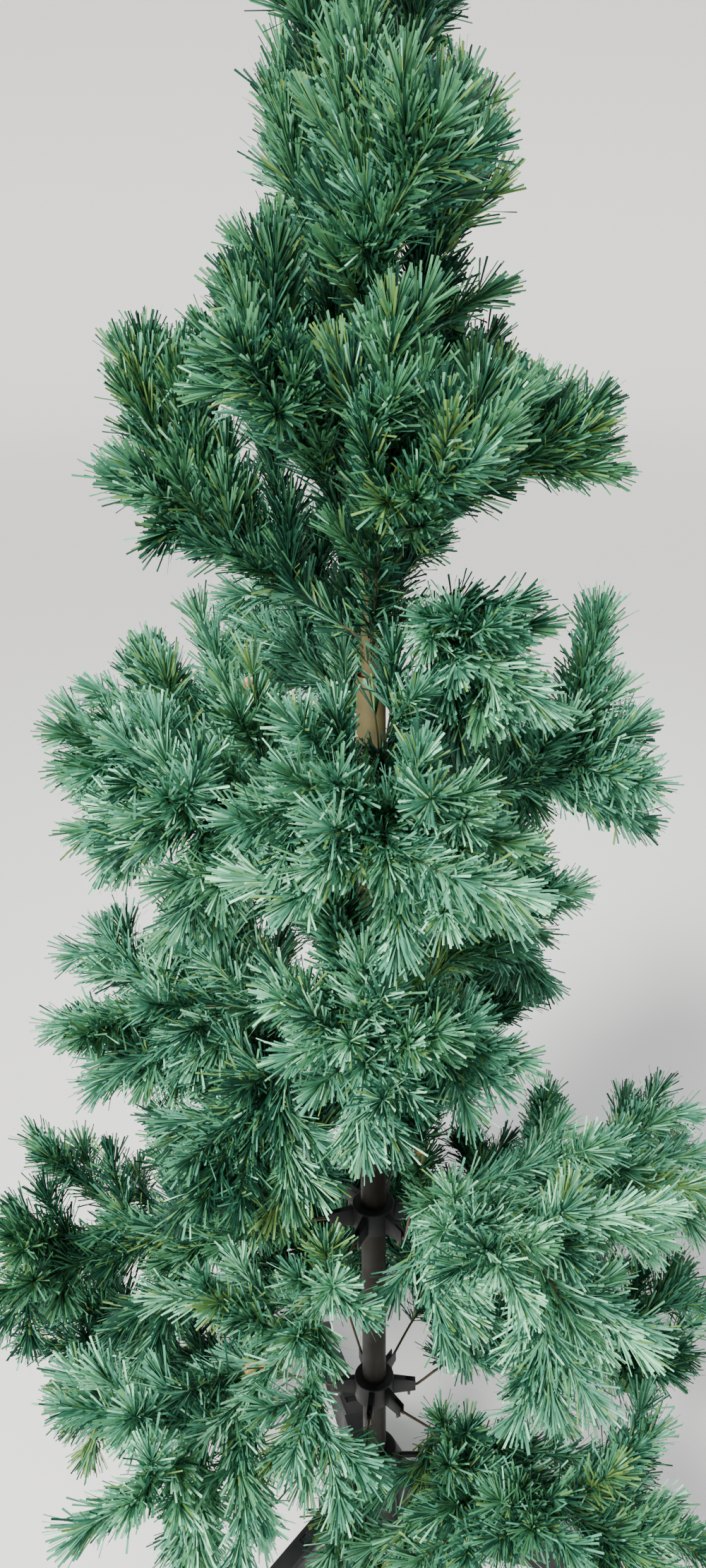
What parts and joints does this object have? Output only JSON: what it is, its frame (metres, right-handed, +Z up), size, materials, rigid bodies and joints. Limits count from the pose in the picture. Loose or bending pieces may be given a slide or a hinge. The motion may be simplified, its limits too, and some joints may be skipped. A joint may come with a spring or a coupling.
{
  "type": "artificial christmas tree",
  "caption": "Undecorated artificial fir with hooked-on boughs of plastic needles round a slim pole, standing on a low legged stand.",
  "frame": {"origin": "centre of the stand hub's flat underside, on the floor and on the pole's axis", "axes": "+Z up along the pole, -Y towards the picture's front, +X to its right"},
  "size_m": [0.9614, 0.848, 2.0953],
  "materials": {
    "needles": "matte",
    "pole_paint": "satin",
    "bare_wire": "satin",
    "stand": "matte",
    "branch_rings": "matte"
  },
  "bodies": {
    "root": {"stand_hub": "stand", "stand_leg_1": "stand", "stand_leg_2": "stand", "stand_leg_3": "stand", "pole_lower": "pole_paint", "pole_middle": "pole_paint", "pole_top": "pole_paint", "tier1_ring": "branch_rings", "tier2_ring": "branch_rings", "tier3_ring": "branch_rings", "tier4_ring": "branch_rings", "wire_tier1_right": "bare_wire", "wire_tier1_front_right": "bare_wire", "wire_tier1_left": "bare_wire", "wire_tier1_rear_left": "bare_wire", "wire_tier1_rear_right": "bare_wire", "wire_tier2_left": "bare_wire", "wire_tier2_front_left": "bare_wire", "wire_tier2_front_right": "bare_wire", "wire_tier2_right": "bare_wire", "wire_tier2_rear_right": "bare_wire", "wire_tier2_rear_left": "bare_wire", "foliage_tier1_right": "needles", "foliage_tier1_front_right": "needles", "foliage_tier1_front_left": "needles", "foliage_tier1_left": "needles", "foliage_tier1_rear_left": "needles", "foliage_tier1_rear_right": "needles", "foliage_tier2_left": "needles", "foliage_tier2_front_left": "needles", "foliage_tier2_front_right": "needles", "foliage_tier2_right": "needles", "foliage_tier2_rear_right": "needles", "foliage_tier2_rear_left": "needles", "foliage_tier3_left": "needles", "foliage_tier3_front_left": "needles", "foliage_tier3_front": "needles", "foliage_tier3_right": "needles", "foliage_tier3_rear_right": "needles", "foliage_tier3_rear_left": "needles", "foliage_tier4_left": "needles", "foliage_tier4_front_left": "needles", "foliage_tier4_front": "needles", "foliage_tier4_right": "needles", "foliage_tier4_rear_right": "needles", "foliage_tier4_rear_left": "needles", "foliage_tier5_left": "needles", "foliage_tier5_front": "needles", "foliage_tier5_front_right": "needles", "foliage_tier5_rear_right": "needles", "foliage_tier6_front_left": "needles", "foliage_tier6_right": "needles", "foliage_tier6_rear_left": "needles", "foliage_tier7_front": "needles", "foliage_tier7_right": "needles", "foliage_tier7_left": "needles", "foliage_tier8_left": "needles", "foliage_tier8_right": "needles", "foliage_leader": "needles"}
  },
  "joints": []
}
